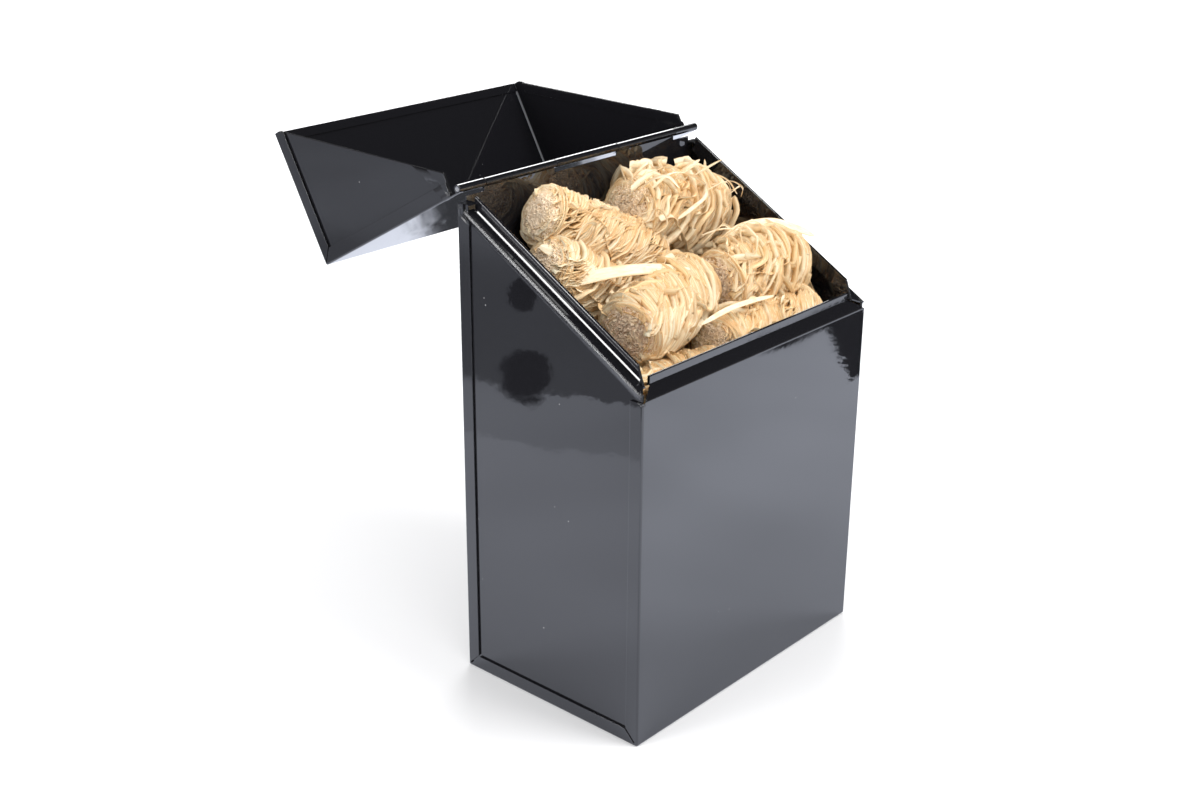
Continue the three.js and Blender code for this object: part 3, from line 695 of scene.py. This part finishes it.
def wool_roll(tree, node, place, settings, seed, values):
    """One roll, which stands for its CAD solid."""
    centre, heading, rise, length, radius = place
    roll = merged_copy(node.replace("stored_roll", "deep_wool").replace("roll", "wool"),
                       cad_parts[node])
    settle(roll, tree, {
        "Centre": centre, "Turn": (0.0, -math.radians(rise), math.radians(heading)),
        "Length": length, "Radius": radius, "Seed": seed,
        "Ribbon Width": settings.ribbon_width, "Ribbon Thickness": settings.ribbon_thickness,
        "Twist": settings.twist, "Unruliness": settings.unruliness,
        "Proud": settings.proud, "Loose Low": LOOSE_LOW, "Loose High": LOOSE_HIGH,
        "Ribbon Finish": bpy.data.materials["wool_ribbon"],
        "End Finish": bpy.data.materials["wool_end"],
        "Core Finish": bpy.data.materials["wool_core"], **values})
    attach(roll, "box")
    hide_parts(node)


# The rolls that show: middle in millimetres, heading and rise in degrees, length and radius
# in millimetres, how many loose ribbons there are, how far they arch off in millimetres,
# and how brown the cut faces are
TOP_ROLLS = {
    "roll_front_left": ((-40.0, -32.0, 143.54), 0, 0, 62, 14, 30, 2.4, 0.3),
    "roll_front_right": ((27.0, -29.0, 153.47), 0, 0, 66, 14, 40, 2.6, -0.2),
    "roll_middle_left": ((-19.0, -10.5, 171.0), 12, 5, 60, 14.5, 74, 3.6, 0.4),
    "roll_middle_right": ((42.0, -13.0, 173.51), 0, 1, 54, 14.5, 100, 5.5, 0.2),
    "roll_left": ((-33.0, 18.3, 176.98), -5, -32, 58, 13, 54, 3.8, -0.1),
    "roll_back_right": ((34.0, 29.0, 196.0), -2, -9, 58, 15, 120, 7.0, -0.25),
    "roll_back_left": ((-16.5, 28.0, 192.98), -13, -28, 68, 13.5, 34, 2.4, -0.3),
}

# The front row's ribbons don't stand out of their solids: it lies further forward than this,
# in millimetres
FRONT_ROW = -25.0

# The rolls under those, of which little shows, are plainer and stay inside their solids
STORED_ROLL = {
    "Ribbons": 46, "Loose Ribbons": 4, "Steps": 16, "Strand Ends": 160, "Rings": 6,
    "End Tone": 0.5, "Proud": -0.0012, "Loft": -0.0008, "Unruliness": 0.6,
}
TOP_SEED, STORED_SEED = 1, 31

# Single curls that lie over the rolls: width in millimetres, how far they are turned over
# at their start and end in degrees, then where they pass, in millimetres
CURLS = (
    (6.0, -15, 5, ((-53, 8, 186), (-45, 4, 188), (-34, -2, 189), (-20, -8, 188), (-6, -15, 186))),
    (6.6, -15, 5, ((-56, 24, 199), (-51, 14, 196), (-45, 7, 191), (-40, 3, 184))),
    (1.6, 60, -20, ((-23, 48, 212), (-22, 40, 213), (-19, 33, 209), (-15, 30, 203))),
    (5.0, -10, 10, ((34, -2, 188), (44, -6, 192), (56, -13, 193), (66, -20, 189), (71, -25, 186))),
    (3.6, -20, 10, ((40, -8, 189), (52, -10, 192), (64, -16, 190), (69, -20, 185))),
    (2.6, 70, 110, ((64, -22, 176), (68, -24, 168), (69, -27, 161), (70, -30, 156))),
    (2.4, 20, 120, ((14, 32, 210), (20, 24, 217), (24, 20, 218), (26, 14, 213))),
    (1.6, 60, 160, ((20, 18, 211), (26, 14, 218), (31, 10, 222))),
    (2.2, 0, 90, ((10, 20, 211), (18, 16, 217), (26, 11, 216), (33, 8, 211))),
    (0.9, 0, 200, ((42, 22, 207), (51, 17, 205), (57, 14, 196), (53, 16, 187))),
    (0.9, 90, -90, ((46, 14, 204), (54, 12, 207), (58, 13, 199), (52, 15, 193))),
    (1.2, 30, 150, ((43, -6, 189), (49, -6, 194), (52, -8, 189))),
    (2.0, 80, 100, ((0, -2, 186), (5, -8, 183), (8, -14, 174), (8, -18, 166))),
    (1.8, 20, 140, ((-42, 17, 200), (-37, 16, 206), (-32, 15, 205), (-33, 16, 198))),
    (1.3, 0, 170, ((24, 2, 187), (29, -2, 193), (35, -2, 194), (38, -8, 189))),
    (1.0, 90, -60, ((30, -16, 188), (36, -10, 194), (44, -12, 196), (49, -18, 190))),
    (2.0, 30, 80, ((58, -2, 188), (55, -12, 190), (50, -22, 186), (49, -27, 178))),
    (2.8, 10, 50, ((12, 6, 200), (20, 4, 204), (30, 6, 206), (38, 12, 208))),
    (1.1, 0, -150, ((30, 22, 212), (38, 18, 217), (46, 20, 214), (48, 26, 210))),
    (0.8, 20, 140, ((46, 24, 205), (54, 20, 209), (60, 16, 206), (62, 12, 200))),
    (0.7, 60, -90, ((50, 10, 201), (57, 8, 205), (62, 12, 203), (60, 20, 199))),
    (0.8, 0, 120, ((36, 10, 207), (44, 4, 211), (52, 2, 207), (57, 6, 201))),
    (1.0, 40, 160, ((22, -6, 189), (27, -12, 195), (33, -14, 197), (36, -20, 191))),
    (1.8, 15, 60, ((26, 4, 190), (33, -4, 193), (42, -14, 190), (46, -24, 183))),
    (1.2, 80, 200, ((6, 34, 208), (11, 30, 216), (17, 28, 220), (20, 32, 214))),
    (1.0, 10, -140, ((34, 16, 213), (38, 8, 219), (44, 6, 221))),
    (1.4, 45, 190, ((4, 24, 209), (8, 18, 216), (14, 14, 217), (17, 10, 212))),
    (1.2, 20, 160, ((-2, 16, 203), (4, 10, 205), (2, 4, 200), (-4, 6, 196))),
    (3.4, -20, 30, ((-14, 36, 203), (-10, 31, 206), (-6, 27, 202))),
    (2.4, -30, 0, ((-24, -36, 171), (-6, -36, 173), (12, -35, 172), (26, -36, 171))),
)

CURL_STEPS = 10                           # steps between two places
CURL_TONE = 0.1                           # as pale as the paler ribbons
CURL_THICKNESS = 0.0002                   # in metres
CURL_UP = Vector((-0.3, -0.4, 0.87))      # the side they show when not turned over
CURL_SECTION = ((-1, 1), (0, 1), (1, 1), (1, -1), (0, -1), (-1, -1))  # across, outward

# Where loose ribbons stay, between the box's walls and behind its front lip
LOOSE_LOW = Vector((-75.5, -42.4, 2.0)) * MM
LOOSE_HIGH = Vector((75.5, 48.5, 226.0)) * MM


def through(points, steps):
    """Points of a smooth line that passes through the given ones."""
    ends = [points[0] * 2 - points[1], *points, points[-1] * 2 - points[-2]]
    line = []
    for a, b, c, d in zip(ends, ends[1:], ends[2:], ends[3:]):
        for step in range(steps):
            t = step / steps
            line.append((b * 2 + (c - a) * t + (a * 2 - b * 5 + c * 4 - d) * t ** 2
                         + (b * 3 - a - c * 3 + d) * t ** 3) / 2)
    return line + [points[-1]]


def curl(width, start, end, points, which, mesh):
    """Adds one flat strip to the mesh's lists: corners, faces and the shader's values."""
    corners, faces, values = mesh
    line = through([Vector(point) * MM for point in points], CURL_STEPS)
    first = len(corners)
    around = len(CURL_SECTION)
    for i, place in enumerate(line):
        u = i / (len(line) - 1)
        ahead = (line[min(i + 1, len(line) - 1)] - line[max(i - 1, 0)]).normalized()
        level = ahead.cross(CURL_UP).normalized()
        over = level.cross(ahead)
        turn = math.radians(start + (end - start) * u)
        side = level * math.cos(turn) + over * math.sin(turn)
        face = side.cross(ahead)
        half = width * MM / 2 * (1.0 - abs(u * 2 - 1) ** 5 * 0.7)
        bow = face * half * 0.25
        for across, thick in CURL_SECTION:
            lift = bow * (1 - abs(across)) + face * thick * CURL_THICKNESS / 2
            corners.append(place + side * half * across + lift)
            values.append((across / 2, (u * len(points) * 0.6, 0.0, which)))
        if i:
            for k in range(around):
                a, b = (first + (i - 1) * around + n % around for n in (k, k + 1))
                faces.append((a, b, b + around, a + around))
    last = len(corners) - around
    faces.append(tuple(first + k for k in reversed(range(around))))
    faces.append(tuple(last + k for k in range(around)))


# ---- settings -------------------------------------------------------------------
class LacquerSettings(bpy.types.PropertyGroup):
    """The black lacquer on the sheet metal."""

    colour: FloatVectorProperty(
        name="Colour", description="Colour of the lacquer under its gloss", subtype="COLOR",
        size=3, min=0.0, max=1.0, default=(0.009, 0.009, 0.011))
    ior: FloatProperty(
        name="Gloss", description="Index of refraction of the lacquer", default=1.75)
    waviness: FloatProperty(
        name="Waviness", description="How far the sheet swells out of flat", unit="LENGTH",
        default=0.0003)
    orange_peel: FloatProperty(
        name="Orange peel", description="Height of the lacquer's fine ripple", unit="LENGTH",
        default=0.000004)
    fold_edge: FloatProperty(
        name="Edge rounding", description="Radius at which sheet edges catch the light",
        unit="LENGTH", default=0.00025)
    hem: FloatProperty(
        name="Hem", description="Width over which the side sheets' rolled rims turn over",
        unit="LENGTH", default=0.003)
    dust: FloatProperty(
        name="Dust", description="Share of places where dust lies", subtype="FACTOR",
        default=0.33)


class WoolSettings(bpy.types.PropertyGroup):
    """The wood wool of the firelighter rolls."""

    ribbon_width: FloatProperty(
        name="Ribbon width", description="Usual width of a ribbon", unit="LENGTH", default=0.0034)
    ribbon_thickness: FloatProperty(
        name="Ribbon thickness", description="Thickness of a ribbon", unit="LENGTH",
        default=0.00018)
    ribbons: IntProperty(
        name="Ribbons", description="Ribbons wound round each roll that shows", default=205)
    looseness: FloatProperty(
        name="Looseness", description="Share of the usual number of loose ribbons",
        default=1.0)
    twist: FloatProperty(
        name="Twist", description="Turn of the ribbons for each metre along a roll",
        default=-95.0)
    steps: IntProperty(
        name="Steps", description="Steps along each ribbon", default=32)
    strand_ends: IntProperty(
        name="Strand ends", description="Strand ends on the two cut faces of a roll",
        default=2000)
    rings: IntProperty(
        name="Rings", description="Ribbons whose edges show as arcs on a roll's cut faces",
        default=110)
    unruliness: FloatProperty(
        name="Unruliness", description="How far ribbons stray from the roll's twist",
        default=1.0)
    proud: FloatProperty(
        name="Proud", description="How far ribbons stand out of the roll's solid",
        unit="LENGTH", default=0.0012)
    pale: FloatVectorProperty(
        name="Pale", description="Fresh pale wood", subtype="COLOR", size=3,
        default=(0.98, 0.88, 0.66))
    straw: FloatVectorProperty(
        name="Straw", description="Straw-coloured wood", subtype="COLOR", size=3,
        default=(0.97, 0.76, 0.44))
    tan: FloatVectorProperty(
        name="Tan", description="Orange-tan wood", subtype="COLOR", size=3,
        default=(0.79, 0.49, 0.22))
    end_pale: FloatVectorProperty(
        name="Pale end", description="Lighter sawn ends", subtype="COLOR", size=3,
        default=(1.0, 0.84, 0.64))
    end_dark: FloatVectorProperty(
        name="Dark end", description="Darker sawn ends", subtype="COLOR", size=3,
        default=(0.70, 0.49, 0.34))


class StudioSettings(bpy.types.PropertyGroup):
    """Camera and light."""

    lens: FloatProperty(name="Lens", description="Focal length", unit="CAMERA", default=50.07)
    azimuth: FloatProperty(
        name="Azimuth", description="Where the camera stands round the box",
        subtype="ANGLE", default=math.radians(-48.673))
    elevation: FloatProperty(
        name="Elevation", description="How far the camera looks down", subtype="ANGLE",
        default=math.radians(22.14))
    tilt: FloatProperty(
        name="Tilt", description="Camera roll", subtype="ANGLE", default=math.radians(0.4041))
    right: FloatProperty(
        name="Right", description="Camera place to the right", unit="LENGTH", default=-0.029156)
    up: FloatProperty(
        name="Up", description="Camera place upwards", unit="LENGTH", default=0.111693)
    distance: FloatProperty(
        name="Distance", description="Camera place backwards", unit="LENGTH", default=0.785819)
    daylight: FloatProperty(
        name="Daylight", description="Strength of the even light", default=0.72)


# ---- operators --------------------------------------------------------------------
def dress(node, finish):
    """Gives a CAD node that shows as it is one finish all over."""
    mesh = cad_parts[node].data
    mesh.materials.clear()
    mesh.materials.append(finish)


class DressSheetMetal(bpy.types.Operator):
    """Lacquer the box's and the lid's sheets"""

    bl_idname = "kindling.sheet_metal"
    bl_label = "Sheet Metal"

    def execute(self, context):
        lacquer = black_lacquer(context.scene.kindling_lacquer)
        for node in ("box_wrap", "box_end_left", "box_end_right",
                     "lid_wrap", "lid_end_left", "lid_end_right"):
            dress(node, lacquer)
        return {"FINISHED"}


class DressHingeWire(bpy.types.Operator):
    """Polish the hinge wire"""

    bl_idname = "kindling.hinge_wire"
    bl_label = "Hinge Wire"

    def execute(self, context):
        dress("hinge_rod", bright_wire())
        return {"FINISHED"}


class FillWithRolls(bpy.types.Operator):
    """Make the rolls of wood wool, those that show and those under them"""

    bl_idname = "kindling.rolls"
    bl_label = "Wood-Wool Rolls"

    def execute(self, context):
        settings = context.scene.kindling_wool
        for finish in (wool_ribbon, wool_end, wool_core):
            finish(settings)
        tree = WoolRoll().tree
        for seed, (node, row) in enumerate(TOP_ROLLS.items(), TOP_SEED):
            middle, heading, rise, length, radius, loose, loft, tone = row
            place = (Vector(middle) * MM, heading, rise, length * MM, radius * MM)
            wool_roll(tree, node, place, settings, seed, {
                "Ribbons": settings.ribbons, "Steps": settings.steps,
                "Loose Ribbons": round(loose * settings.looseness), "Loft": loft * MM,
                "Strand Ends": settings.strand_ends, "Rings": settings.rings, "End Tone": tone,
                "Proud": settings.proud if middle[1] > FRONT_ROW else 0.0})
        stored = sorted(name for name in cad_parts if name.startswith("stored_roll"))
        for seed, node in enumerate(stored, STORED_SEED):
            low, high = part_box(node)
            size = high - low
            upright = node.endswith("standing")
            length, radius = (size.z, size.x / 2) if upright else (size.x, size.z / 2)
            place = ((low + high) / 2, 0, 90 if upright else 0, length, radius)
            wool_roll(tree, node, place, settings, seed, STORED_ROLL)
        return {"FINISHED"}


class LayCurls(bpy.types.Operator):
    """Lay single curls of wood wool over the rolls"""

    bl_idname = "kindling.curls"
    bl_label = "Single Curls"

    def execute(self, context):
        corners, faces, values = [], [], []
        for which, (width, start, end, points) in enumerate(CURLS):
            curl(width, start, end, points, which * 0.37 + 0.1, (corners, faces, values))
        mesh = bpy.data.meshes.new("wool_curls")
        mesh.from_pydata(corners, [], faces)
        tone = mesh.attributes.new("tone", "FLOAT", "POINT")
        across = mesh.attributes.new("across", "FLOAT", "POINT")
        run = mesh.attributes.new("run", "FLOAT_VECTOR", "POINT")
        for i, (side, along) in enumerate(values):
            tone.data[i].value = CURL_TONE
            across.data[i].value = side
            run.data[i].vector = along
        mesh.update()
        mesh.materials.append(bpy.data.materials["wool_ribbon"])
        curls = placed("wool_curls", mesh)
        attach(curls, "box")
        return {"FINISHED"}


FILM_WIDTH = 36.0   # in millimetres
FLOOR_REACH = 4.0   # from its middle to its edges, in metres

# Lamps: name, place and size in metres, power in watts
LAMPS = (
    ("top", (0.25, -0.66, 1.25), (0.5, 0.5), 10.5),
    ("right", (0.88, 0.66, 0.78), (0.62, 0.42), 7.5),
    ("left_low", (-1.15, 0.46, 0.33), (0.42, 0.46), 9.0),
    ("left_soft", (-0.55, -1.0, 0.95), (0.6, 0.6), 2.6),
    ("left_high", (-0.80, 0.12, 0.86), (0.16, 0.16), 1.1),
)
LAMP_AIM = Vector((0.0, 0.0, 0.15))


class SetStage(bpy.types.Operator):
    """Put up the camera, the floor and the light"""

    bl_idname = "kindling.stage"
    bl_label = "Stage"

    def execute(self, context):
        settings = context.scene.kindling_studio
        self.camera(context, settings)
        self.floor()
        self.world(context, settings)
        self.lamps()
        context.scene.view_settings.view_transform = "Standard"
        return {"FINISHED"}

    def camera(self, context, s):
        data = bpy.data.cameras.new("camera")
        data.lens = s.lens
        data.sensor_width = FILM_WIDTH
        data.clip_start = 0.02
        camera = placed("camera", data)
        back = Vector((math.sin(s.azimuth) * math.cos(s.elevation),
                       -math.cos(s.azimuth) * math.cos(s.elevation), math.sin(s.elevation)))
        level = Vector((math.cos(s.azimuth), math.sin(s.azimuth), 0.0))
        above = back.cross(level)
        right = level * math.cos(s.tilt) + above * math.sin(s.tilt)
        up = above * math.cos(s.tilt) - level * math.sin(s.tilt)
        turn = Matrix((right, up, back)).transposed().to_4x4()
        camera.matrix_world = Matrix.Translation(
            right * s.right + up * s.up + back * s.distance) @ turn
        context.scene.camera = camera

    def floor(self):
        mesh = bpy.data.meshes.new("floor")
        r = FLOOR_REACH
        mesh.from_pydata([(-r, -r, 0), (r, -r, 0), (r, r, 0), (-r, r, 0)], [], [(0, 1, 2, 3)])
        mesh.materials.append(white_paper())
        placed("floor", mesh)

    def world(self, context, s):
        """White to the camera, a plain even light, and a dim room in the reflections."""
        world = bpy.data.worlds.new("studio")
        world.use_nodes = True
        context.scene.world = world
        g = Graph(world.node_tree)
        path = g.make("ShaderNodeLightPath", {}, {})
        seen, mirrored = path["Is Camera Ray"], path["Is Glossy Ray"]
        _, _, height = g.make("ShaderNodeTexCoord", {}, {}, "Generated").xyz()
        room = height.ramp(0.0, 0.30, 0.35, 0.02)
        light = s.daylight * (1.0 - mirrored) + room * mirrored
        light = light * (1.0 - seen) + seen
        sky = g.make("ShaderNodeBackground", {}, {"Color": WHITE, "Strength": light})
        g.make("ShaderNodeOutputWorld", {}, {"Surface": sky})

    def lamps(self):
        for name, place, size, power in LAMPS:
            data = bpy.data.lights.new(name, "AREA")
            data.shape = "RECTANGLE"
            data.size, data.size_y = size
            data.energy = power
            lamp = placed(name, data)
            lamp.location = place
            lamp.visible_camera = False
            lamp.rotation_euler = (LAMP_AIM - Vector(place)).to_track_quat("-Z", "Y").to_euler()


class KindlingPanel(bpy.types.Panel):
    """The kindling box's pieces"""

    bl_idname = "VIEW3D_PT_kindling"
    bl_label = "Kindling Box"
    bl_space_type = "VIEW_3D"
    bl_region_type = "UI"
    bl_category = "Kindling Box"

    def draw(self, context):
        for operator in OPERATORS:
            self.layout.operator(operator.bl_idname)
        for settings in SETTINGS:
            group = getattr(context.scene, settings)
            box = self.layout.box()
            for name in group.__annotations__:
                box.prop(group, name)


SETTINGS = {
    "kindling_lacquer": LacquerSettings,
    "kindling_wool": WoolSettings,
    "kindling_studio": StudioSettings,
}
OPERATORS = (DressSheetMetal, DressHingeWire, FillWithRolls, LayCurls, SetStage)
CLASSES = (*SETTINGS.values(), *OPERATORS, KindlingPanel)


def register():
    for cls in CLASSES:
        bpy.utils.register_class(cls)
    for name, kind in SETTINGS.items():
        setattr(bpy.types.Scene, name, PointerProperty(type=kind))


def unregister():
    for name in SETTINGS:
        delattr(bpy.types.Scene, name)
    for cls in reversed(CLASSES):
        bpy.utils.unregister_class(cls)


def main():
    register()
    bpy.ops.kindling.stage()
    bpy.ops.kindling.sheet_metal()
    bpy.ops.kindling.hinge_wire()
    bpy.ops.kindling.rolls()
    bpy.ops.kindling.curls()


if __name__ == "__main__":
    main()
